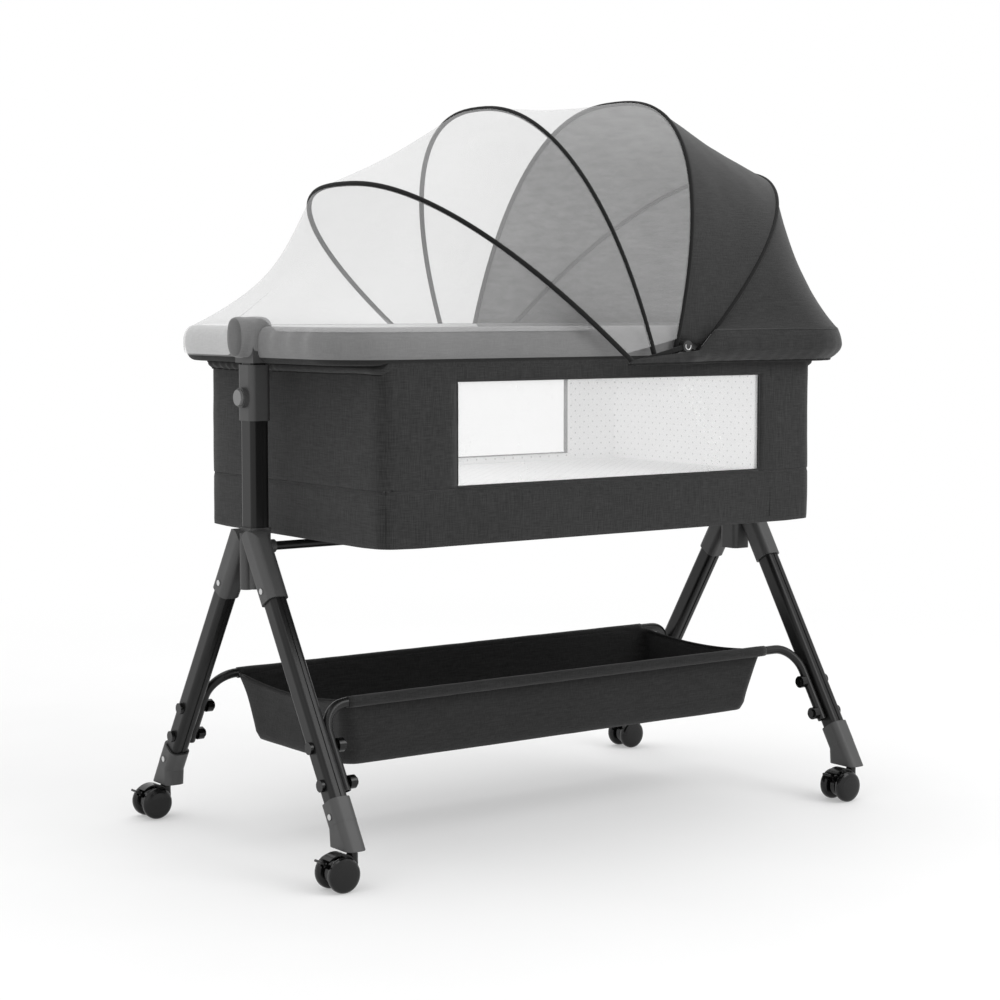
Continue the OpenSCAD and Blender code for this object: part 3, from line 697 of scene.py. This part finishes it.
def build_front_net():
    """Net from the foot-end hoop down to the rail's top edge and over its foot end and bump."""
    n = 181
    edge_z = 0.7045  # where the net meets the top of the pad
    n_path = 400
    n_draped = 8  # rows below that edge
    start = radians(8.0)
    angles = [start + (pi - 2 * start) * k / (n - 1) for k in range(n)]
    high = [hoop_point(3, a, CLOTH_OUT) for a in angles]
    lengths = [0.0]
    for p, q in zip(high, high[1:]):
        lengths.append(lengths[-1] + (q - p).length)
    shares = [d / lengths[-1] for d in lengths]

    def hangs(p):
        """1 where the net hangs over the pad, at the foot end behind the bump, and 0 elsewhere."""
        return smooth((-p.x - 0.385) / 0.04) * smooth((p.y - 0.018) / 0.035)

    def bump_lift(p):
        """How far the net is held up where it runs over the bump at the foot end."""
        near_end = smooth((-p.x - 0.30) / 0.10)
        near_middle = smooth((0.078 - abs(p.y)) / 0.050)
        near_rail = smooth((0.86 - p.z) / 0.14)
        return 0.0165 * near_end * near_middle * near_rail

    def on_pad(t, z):
        """The point of the pad's outer face at a share of the way round its foot end."""
        line = rail_path(pad_reach(z) + 0.0026, -0.047, n_path)
        return Vector((*line[min(n_path - 1, round(t * (n_path - 1)))].xy, z))

    low = [on_pad(t, edge_z) for t in shares]
    rows = []
    for k in range(35):
        u = k / 34
        row = []
        for a, p, q in zip(angles, low, high):
            at = p.lerp(q, u)
            away = (at - CLOTH_CENTRE).normalized()
            dip = 0.027 * sin(pi * u ** 0.85) * min(1.0, sin(a) * 1.3)
            ripple = sin(pi * u) * 0.0018 * wave(at, 10, 40) + 0.0005 * (1 - u) ** 2 * sin(a * 95)
            row.append(at - away * (dip - ripple))
        rows.append(row)
    for k in range(1, n_draped + 1):
        rows.insert(0, [
            on_pad(t, edge_z - 0.0005 * k - (0.033 * k / n_draped) * hangs(p)) for t, p in zip(shares, low)
        ])
    for row in rows:
        for p in row:
            if p.z > 0.69:
                p.z += bump_lift(p)
    sheet = face_from(grid("net_front", rows), CLOTH_CENTRE)
    paint(sheet, NET, NET_GATHERED)
    for poly in sheet.data.polygons:  # thicker to look through where it is gathered on the pad
        x, y, z = poly.center
        poly.material_index = 1 if x < -0.39 and y > 0.03 and z < 0.7085 else 0
    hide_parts("net_front_panel")
    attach(sheet, "net_front")
    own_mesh(sheet)


def build_rivets():
    """Small open rings where the canopy is fixed at its pivots."""
    for name, side in (("front", -1), ("back", 1)):
        turns = [radians(150 + 230 * k / 24) for k in range(25)]
        ring = [Vector((PIVOT.x + 0.0046 * cos(t), side * 0.2573, PIVOT.z + 0.0046 * sin(t))) for t in turns]
        rivet = paint(tube("canopy_rivet_" + name, ring, 0.0009, sides=8), STEEL)
        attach(rivet, "bed")


# ------------------------ padded rail


def rail_section(t):
    """Outline of the padded rail about its centre line: (outwards, up), pad above a trim band."""
    c, q = cos(t), sin(t)
    x = PAD_HALF[0] * np.sign(c) * abs(c) ** 0.86
    z = PAD_HALF[1] * np.sign(q) * abs(q) ** 0.82
    return x, z + RAIL_Z


def build_rail():
    """The padded rail with its creases, its coloured bands and its two end caps."""
    path = rounded_path(*RAIL, per_corner=16, per_side=60)
    sides = 28
    inner_face = -0.0065  # faces further in than this from the centre line face the bed
    lining_x = 0.09  # and they are lined like the canopy from here to the head end
    rows = []
    length = 0.0
    for i, (p, d) in enumerate(path):
        length += (p - path[i - 1][0]).length if i else 0
        ring = []
        for k in range(sides):
            x, z = rail_section(tau * k / sides)
            at = p + d * x + Vector((0, 0, z))
            crease = 0.0011 * wave(at, 14, 2) + 0.0006 * wave(at, 45, 9)
            pinch = 0.0012 * max(0, -cos(tau * k / sides + 2.3)) * sin(length * 150 + 3 * wave(p, 12, 7))
            at += d * (crease + pinch) * (1 if x >= 0 else -1)
            ring.append(at)
        rows.append(ring)
    pad = grid("rail_pad", rows, wrap_rows=True, wrap_cols=True)
    fix_normals(pad)
    paint(pad, RAIL_CLOTH, TRIM, PALE_SLEEVE, LINING)
    for i, poly in enumerate(pad.data.polygons):
        inner = rail_section(tau * (i % sides + 0.5) / sides)[0] < inner_face
        if poly.center.z < TRIM_Z:
            poly.material_index = 1
        elif inner:
            poly.material_index = 3 if poly.center.x > lining_x else 2
        else:
            poly.material_index = 0
    caps = [build_end_cap(end) for end in (-1, 1)]
    pad = join("rail_pad", [pad] + caps)
    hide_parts("rail_cover")
    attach(pad, "bed")


# Rings of an end cap from the rail outwards: distance from the middle of the bed, share of the
# full oval, and half width. The wider ones are its square band, the rest its rounded face.
END_CAP_RINGS = [
    (0.414, 0.72, 0.0262), (0.4155, 0.88, 0.0262), (0.419, 0.97, 0.0264), (0.425, 1.0, 0.0266),
    (0.435, 1.0, 0.0266), (0.444, 0.99, 0.0262), (0.4475, 0.955, 0.0245), (0.4495, 0.955, 0.0225),
    (0.452, 1.0, 0.0212), (0.457, 0.985, 0.0207), (0.4605, 0.92, 0.0205), (0.4622, 0.8, 0.0205),
    (0.4628, 0.45, 0.0205), (0.4629, 0.02, 0.0205),
]


def build_end_cap(end):
    """Oval padded cap over the bracket at one end of the rail."""
    sides, rings = 36, []
    centre_z, half_height = 0.692, 0.0272
    band = 0.022  # rings with a greater half width than this are square
    face_x = 0.461  # the cap's darker face lies beyond this
    for x, scale, half in END_CAP_RINGS:
        ring = []
        for k in range(sides):
            t = tau * k / sides
            c, q = cos(t), sin(t)
            square = 0.6 if half > band else 0.85
            y = half * scale * np.sign(c) * abs(c) ** square
            z = centre_z + half_height * scale * np.sign(q) * abs(q) ** square
            jog = 0.0007 * wave((x, y, z), 40, 3)
            ring.append(Vector((end * (x + jog), y, z + jog)))
        rings.append(ring)
    cap = grid("end_cap", rings, wrap_cols=True, caps=(0, -1))
    paint(cap, RAIL_CLOTH, CAP_FACE)
    for poly in cap.data.polygons:
        poly.material_index = 1 if abs(poly.center.x) > face_x else 0
    return cap


def build_trim():
    """Gathered black band where the fabric box is zipped under the rail."""
    path = rounded_path(0.3835, 0.2290, 0.022, per_corner=12, per_side=130)
    rows = []
    for k in range(9):
        u = k / 8
        row = []
        length = 0.0
        for i, (p, d) in enumerate(path):
            length += (p - path[i - 1][0]).length if i else 0
            ends = 0.06 + 0.74 * smooth((-p.x - 0.345) / 0.03) * smooth(p.y / 0.06)
            fold = (0.0005 + 0.0011 * u) * sin(length * 330 + 3 * wave(p, 16, 5)) * ends
            fold += 0.0008 * u * wave(p, 13, 7)
            low = 0.6455 + 0.0016 * wave(p, 12, 6)
            high = 0.6655 - 0.0105 * smooth((abs(p.x) - 0.362) / 0.014)
            z = high + (low - high) * u
            belly = 0.003 * sin(pi * u) - 0.006 * u
            row.append(p + d * (fold + belly) + Vector((0, 0, z)))
        rows.append(row)
    trim = face_from(grid("rail_trim", rows, wrap_cols=True), (0, 0, 0.655))
    trim = thicken(paint(trim, CHARCOAL), 0.001)
    for name, row, r in (("top", rows[0], 0.0019), ("hem", rows[-1], 0.0013)):
        line = tube("rail_trim_" + name, row, r, sides=8, closed=True)
        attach(paint(line, BINDING), "bed")
    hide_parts("rim_zip")
    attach(trim, "bed")


# ------------------------ fabric box


def box_rows(grow, heights, window, brim, belly=0.0, floor=True, seed=0.0):
    """A box wall with openings on its long sides, its brim under the rail, and its floor.

    The brim is the half sizes, corner radius and height that the wall's top edge runs out to.
    """
    hx, hy, r = BOX[0] + grow, BOX[1] + grow, max(0.004, BOX[2] + grow)
    (wx0, wz0), (wx1, wz1) = window
    xs = np.unique(np.concatenate([np.linspace(-hx + r, wx0, 9), np.linspace(wx0, wx1, 34),
                                   np.linspace(wx1, hx - r, 9)]))
    ys = np.linspace(-hy + r, hy - r, 30)
    path = []
    for sx, sy, along in ((1, -1, "x"), (1, 1, "y"), (-1, 1, "x"), (-1, -1, "y")):
        if along == "x":
            side = [Vector((x, sy * hy, 0)) for x in (xs if sx > 0 else xs[::-1])]
            d = Vector((0, sy, 0))
        else:
            side = [Vector((sx * hx, y, 0)) for y in (ys if sy > 0 else ys[::-1])]
            d = Vector((sx, 0, 0))
        path += [(p, d) for p in side]
        c = side[-1] - d * r
        turn = Vector((-d.y, d.x, 0))
        for i in range(1, 6):
            a = i / 6 * pi / 2
            out = cos(a) * d + sin(a) * turn
            path.append((c + r * out, out))
    zs = sorted(set([round(z, 5) for z in heights] + [wz0, wz1]))
    verts, faces = [], []
    n = len(path)
    for z in zs:
        v = (z - zs[0]) / (zs[-1] - zs[0])
        for p, d in path:
            flat_side = max(abs(d.x), abs(d.y)) > 0.999
            reach = (1 - (p.x / hx) ** 4) if abs(d.y) > 0.999 else (1 - (p.y / hy) ** 4)
            bulge = belly * sin(pi * v) * reach if flat_side else 0.0
            seamed = -0.0012 if abs(z - SEAM_Z) < 0.0016 and z < wz0 else 0.0
            corner = max(0.0, (abs(p.x) - (hx - 0.05)) / 0.05) * max(0.0, (abs(p.y) - (hy - 0.05)) / 0.05)
            lift = 0.0015 * corner * max(0.0, 1 - v / 0.12) if floor else 0.0
            q = p + Vector((0, 0, z + lift))
            ripple = 0.0012 * wave(q, 9, seed) + 0.0005 * wave(q, 28, seed + 2)
            near = abs(d.y) > 0.999 and wx0 - 0.02 < p.x < wx1 + 0.02 and wz0 - 0.01 < z < wz1 + 0.01
            verts.append(q + d * (bulge * (0.3 if near else 1) + seamed + ripple * (0.2 if near else 1)))
    for k in range(len(zs) - 1):
        middle = (zs[k] + zs[k + 1]) / 2
        for i in range(n):
            j = (i + 1) % n
            mx = (path[i][0].x + path[j][0].x) / 2
            opening = abs(path[i][1].y) > 0.999 and abs(path[j][1].y) > 0.999
            if opening and wx0 < mx < wx1 and wz0 < middle < wz1:
                continue
            faces.append((k * n + i, k * n + j, (k + 1) * n + j, (k + 1) * n + i))
    edge = list(range((len(zs) - 1) * n, len(zs) * n))
    top = [verts[i] for i in edge]
    for share in (0.3, 0.65, 1.0):
        ring = list(range(len(verts), len(verts) + n))
        for p in top:
            out = [p.x * brim[0] / hx, p.y * brim[1] / hy]
            past = Vector([max(0.0, abs(c) - half + brim[2]) for c, half in zip(out, brim)])
            if past.length > brim[2]:
                past *= brim[2] / past.length
                out = [(half - brim[2] + q) * np.sign(c) for c, half, q in zip(out, brim, past)]
            verts.append(p.lerp(Vector((*out, brim[3])), share))
        for i in range(n):
            j = (i + 1) % n
            faces.append((edge[i], edge[j], ring[j], ring[i]))
        edge = ring
    if floor:
        base = [verts[i] for i in range(n)]
        inner = list(range(n))
        for scale in (0.985, 0.95, 0.8, 0.55, 0.25, 0.02):
            ring = []
            for i in range(n):
                ring.append(len(verts))
                p = base[i]
                settle = min(1.0, (1 - scale) * 8)
                z = p.z + (zs[0] - p.z) * settle - 0.001 * settle
                verts.append(Vector((p.x * scale, p.y * scale, z)))
            for i in range(n):
                j = (i + 1) % n
                faces.append((ring[i], ring[j], inner[j], inner[i]))
            inner = ring
        faces.append(tuple(reversed(inner)))
    return verts, faces


def build_box():
    """The fabric box with its seams, and the dotted liner inside it."""
    window = ((WINDOW_LO[0], WINDOW_LO[2]), (WINDOW_HI[0], WINDOW_HI[2]))
    heights = list(np.linspace(BOX_Z[0], 0.4965, 14)) + [0.4972] + list(np.linspace(0.502, BOX_Z[1], 26))
    brim = (0.410, 0.230, 0.060, 0.6642)
    verts, faces = box_rows(0.0015, heights, window, brim, belly=0.0028, seed=11)
    shell = add_object("bed_cloth", verts, faces)
    fix_normals(shell)
    shell = thicken(paint(shell, CHARCOAL), 0.0018)
    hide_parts("bed_shell")
    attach(shell, "bed")
    seams = build_seams(window)
    heights = np.linspace(BOARD_TOP + 0.001, 0.654, 24)
    brim = (0.4088, 0.2205, 0.050, 0.6705)
    verts, faces = box_rows(-0.0048, heights, window, brim, belly=-0.001, floor=False, seed=30)
    liner = add_object("liner_cloth", verts, faces)
    liner = face_from(liner, (0, 0, 0.56))
    paint(liner, LINER_SIDE, LINER_END, MATTRESS_TOP)
    for poly in liner.data.polygons:
        poly.material_index = 2 if abs(poly.normal.z) > 0.7 else 1 if abs(poly.normal.x) > 0.7 else 0
    liner = thicken(liner, 0.0016)
    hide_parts("inner_liner")
    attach(liner, "bed")


def build_seams(window):
    """Stitched edges: box corners, a panel seam, the seam under the windows, window bindings."""
    made = []
    (wx0, wz0), (wx1, wz1) = window
    hx, hy = BOX[0] + 0.002, BOX[1] + 0.002
    for name, side in (("front", -1), ("back", 1)):
        y = side * (hy + 0.0008)
        loop = [(wx0, wz0), (wx1, wz0), (wx1, wz1), (wx0, wz1)]
        points = []
        for k in range(4):
            a, b = Vector(loop[k]), Vector(loop[(k + 1) % 4])
            for i in range(24):
                q = a.lerp(b, i / 24)
                points.append(Vector((q.x, y + side * 0.0004 * wave((q.x, q.y, 0), 30), q.y)))
        binding = tube("window_binding_" + name, points, 0.0016, sides=8, closed=True)
        made.append(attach(paint(binding, CHARCOAL), "bed"))
        upright = np.linspace(0.427, 0.646, 24)
        lines = [
            ("left", [Vector((x, y, SEAM_Z)) for x in np.linspace(-hx + 0.012, wx0 - 0.002, 20)]),
            ("right", [Vector((x, y, SEAM_Z)) for x in np.linspace(wx1 + 0.002, hx - 0.012, 20)]),
            ("panel", [Vector((0.292, y, z)) for z in np.linspace(0.43, 0.646, 24)]),
        ]
        for tag, end in (("foot", -1), ("head", 1)):
            a = radians(52)
            r = BOX[2] + 0.0018
            at = (end * (BOX[0] - BOX[2] + r * cos(a)), side * (BOX[1] - BOX[2] + r * sin(a)))
            lines.append(("corner_" + tag, [Vector((*at, z)) for z in upright]))
        for tag, line in lines:
            seam = tube(f"seam_{tag}_{name}", line, 0.0013 if "corner" in tag else 0.0008, sides=6)
            made.append(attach(paint(seam, TRIM), "bed"))
    return made


def build_windows():
    """The two window nets, a little larger than their openings."""
    margin = 0.004
    for name, side in (("front", -1), ("back", 1)):
        rows = []
        for z in np.linspace(WINDOW_LO[2] - margin, WINDOW_HI[2] + margin, 20):
            row = []
            for x in np.linspace(WINDOW_LO[0] - margin, WINDOW_HI[0] + margin, 60):
                y = side * (0.2236 - 0.0012 * wave((x, 0, z), 8, side))
                row.append(Vector((x, y, z)))
            rows.append(row)
        mesh = grid("window_mesh_" + name, rows)
        paint(mesh, WINDOW_NET)
        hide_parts("mesh_window_" + name)
        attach(mesh, "bed")


def build_mattress():
    """Padded mattress with a crown and soft edges."""
    lo, hi = Vector(MATTRESS_LO), Vector(MATTRESS_HI)
    hx, hy = (hi.x - lo.x) / 2 - 0.001, (hi.y - lo.y) / 2 - 0.001
    path = rounded_path(hx, hy, 0.02, per_corner=8, per_side=44)
    profile = [
        (0.93, lo.z + 0.001), (0.985, lo.z + 0.004), (1.0, lo.z + 0.018),
        (1.0, hi.z - 0.02), (0.992, hi.z - 0.008),
    ]
    rows = []
    for scale, z in profile:
        rows.append([Vector((p.x * scale, p.y * (1 - (1 - scale) * 1.6), z)) for p, _ in path])
    for scale in (0.97, 0.93, 0.86, 0.76, 0.63, 0.48, 0.32, 0.16, 0.02):
        row = []
        for p, _ in path:
            q = Vector((p.x * scale, p.y * (1 - (1 - scale) * 1.02), 0))
            z = hi.z - 0.004 + 0.0055 * (1 - scale ** 3) + 0.0012 * wave(q, 9, 6)
            row.append(Vector((q.x, q.y, z)))
        rows.append(row)
    pad = grid("mattress_pad", rows, wrap_cols=True, caps=(0, -1))
    paint(pad, MATTRESS_TOP, MATTRESS_EDGE)
    for poly in pad.data.polygons:
        poly.material_index = 0 if poly.normal.z > 0.6 else 1
    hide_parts("mattress")
    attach(pad, "bed")


# ------------------------ storage basket


def build_basket():
    """Fabric bag whose long edges are sewn round the two rails and whose ends hang between them."""
    rail_y = LEG_SPREAD * (HUB_Z - BAG_RAIL_Z)
    middle = (BAG_LO[0] + BAG_HI[0]) / 2
    top_z, low_z = 0.2165, 0.1262
    sink = 0.010  # how far the end edges hang below the rails
    n_rows = 18
    rows = []
    for k in range(n_rows + 1):
        u = k / n_rows
        flare = (1 - u) ** 2.2
        hx = 0.3605 + 0.0115 * (1 - u) ** 1.7 - 0.0010 * sin(pi * u)
        hy = 0.1255 + 0.0130 * (1 - u) ** 1.2 + 0.0020 * sin(pi * u)
        r = 0.024 - 0.013 * (1 - u) ** 1.5
        tuck = 0.003 * max(0.0, u - 0.9) / 0.1
        path = rounded_path(hx - tuck, hy - tuck, r, per_corner=10, per_side=46)
        row = []
        for p, d in path:
            corner = (abs(p.x) / hx) ** 6 * (abs(p.y) / hy) ** 3
            droop = sink * (1 - (p.y / hy) ** 2) * (abs(p.x) / hx) ** 30 * (1 - u)
            z = top_z + (low_z - top_z) * u - droop
            q = Vector((p.x + middle, p.y, z))
            slack = 0.0022 * wave(q, 7, 15) * sin(pi * u) + 0.0009 * wave(q, 24, 17)
            row.append(q + d * (slack + 0.004 * flare * corner))
        rows.append(row)
    last = rows[-1]
    for scale in (0.985, 0.94, 0.8, 0.55, 0.25, 0.02):
        row = []
        for p in last:
            z = low_z - 0.0018 * min(1, (1 - scale) * 9)
            q = Vector(((p.x - middle) * scale + middle, p.y * scale, z))
            q.z += 0.0012 * wave(q, 6, 19)
            row.append(q)
        rows.append(row)
    bag = grid("basket_bag", rows, wrap_cols=True, caps=(-1,))
    bag = thicken(paint(bag, BASKET_CLOTH), 0.0018)
    for name, side in (("front", -1), ("back", 1)):
        along = np.linspace(middle - 0.3695, middle + 0.3695, 90)
        points = [Vector((x, side * rail_y, BAG_RAIL_Z)) for x in along]

        def radius(t):
            return 0.0077 + 0.0005 * wave((t * 18, side, 0), 1.0)

        hem = tube("basket_hem_" + name, points, radius, sides=18)
        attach(paint(hem, BASKET_CLOTH), "stand")
    for name, end in (("foot", -1), ("head", 1)):
        points = []
        for y in np.linspace(-0.128, 0.128, 30):
            droop = sink * (1 - (y / 0.1385) ** 2)
            points.append(Vector((middle + end * 0.3712, y, top_z - droop)))
        hem = tube("basket_edge_" + name, points, 0.0022, sides=8)
        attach(paint(hem, BINDING), "stand")
    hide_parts("storage_basket")
    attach(bag, "stand")


# ------------------------ stage, light and camera


def build_stage():
    """A pale floor that fades to plain white away from the object."""
    half = 40
    corners = [(-half, -half, 0), (half, -half, 0), (half, half, 0), (-half, half, 0)]
    floor = add_object("floor", corners, [(0, 1, 2, 3)])
    s = Shader("pale_floor")
    s.set(Roughness=0.65, Specular_IOR_Level=0.2)
    s.colour(s.ramp(s.noise(2.0, 3.0), [(0.3, 0.8), (0.7, 0.83)]))
    far = s.nodes.new("ShaderNodeVectorMath")
    far.operation = "LENGTH"
    s.links.new(s.coords, far.inputs[0])
    fade = s.nodes.new("ShaderNodeMapRange")
    fade.interpolation_type = "SMOOTHSTEP"
    fade.inputs["From Min"].default_value = 0.9
    fade.inputs["From Max"].default_value = 2.6
    fade.inputs["To Min"].default_value = 0.3
    s.links.new(far.outputs["Value"], fade.inputs["Value"])
    glow = s.nodes.new("ShaderNodeEmission")
    blend = s.nodes.new("ShaderNodeMixShader")
    s.links.new(fade.outputs[0], blend.inputs[0])
    s.links.new(s.bsdf.outputs[0], blend.inputs[1])
    s.links.new(glow.outputs[0], blend.inputs[2])
    output = next(n for n in s.nodes if n.type == "OUTPUT_MATERIAL")
    s.links.new(blend.outputs[0], output.inputs["Surface"])
    paint(floor, s.mat)


def add_area(name, where, aim, size, power):
    """A rectangular lamp that faces a point."""
    light = bpy.data.lights.new(name, "AREA")
    light.shape = "RECTANGLE"
    light.size, light.size_y = size
    light.energy = power
    obj = bpy.data.objects.new(name, light)
    bpy.context.scene.collection.objects.link(obj)
    obj.location = where
    obj.rotation_euler = (Vector(aim) - Vector(where)).to_track_quat("-Z", "Y").to_euler()


def build_light():
    """White surroundings with a key lamp, a weak fill and a top lamp."""
    world = bpy.data.worlds.new("studio")
    bpy.context.scene.world = world
    world.use_nodes = True
    background = world.node_tree.nodes["Background"]
    background.inputs["Color"].default_value = (1, 1, 1, 1)
    background.inputs["Strength"].default_value = 1.0
    centre = (0, 0, 0.5)
    add_area("key", (1.6, -3.0, 2.6), centre, (2.2, 2.2), 50)
    add_area("fill", (-3.2, -1.2, 1.8), centre, (2.0, 2.0), 4)
    add_area("top", (0.0, 0.6, 3.2), centre, (3.0, 2.0), 25)


def build_camera():
    """The camera, as solved from the object's own straight edges."""
    data = bpy.data.cameras.new("camera")
    data.sensor_width = 36
    data.lens = 80.13
    data.clip_end = 100
    obj = bpy.data.objects.new("camera", data)
    bpy.context.scene.collection.objects.link(obj)
    obj.location = (-1.915, -2.5953, 0.7343)
    obj.rotation_euler = (radians(90 - 4.9994), 0, radians(-36.0574))
    bpy.context.scene.camera = obj


finish_cad_nodes()
build_piping()
build_cloth()
build_hem(build_back())
build_front_net()
build_rivets()
build_rail()
build_trim()
build_box()
build_windows()
build_mattress()
build_basket()
build_stage()
build_light()
build_camera()
bpy.context.scene.view_settings.view_transform = "Standard"
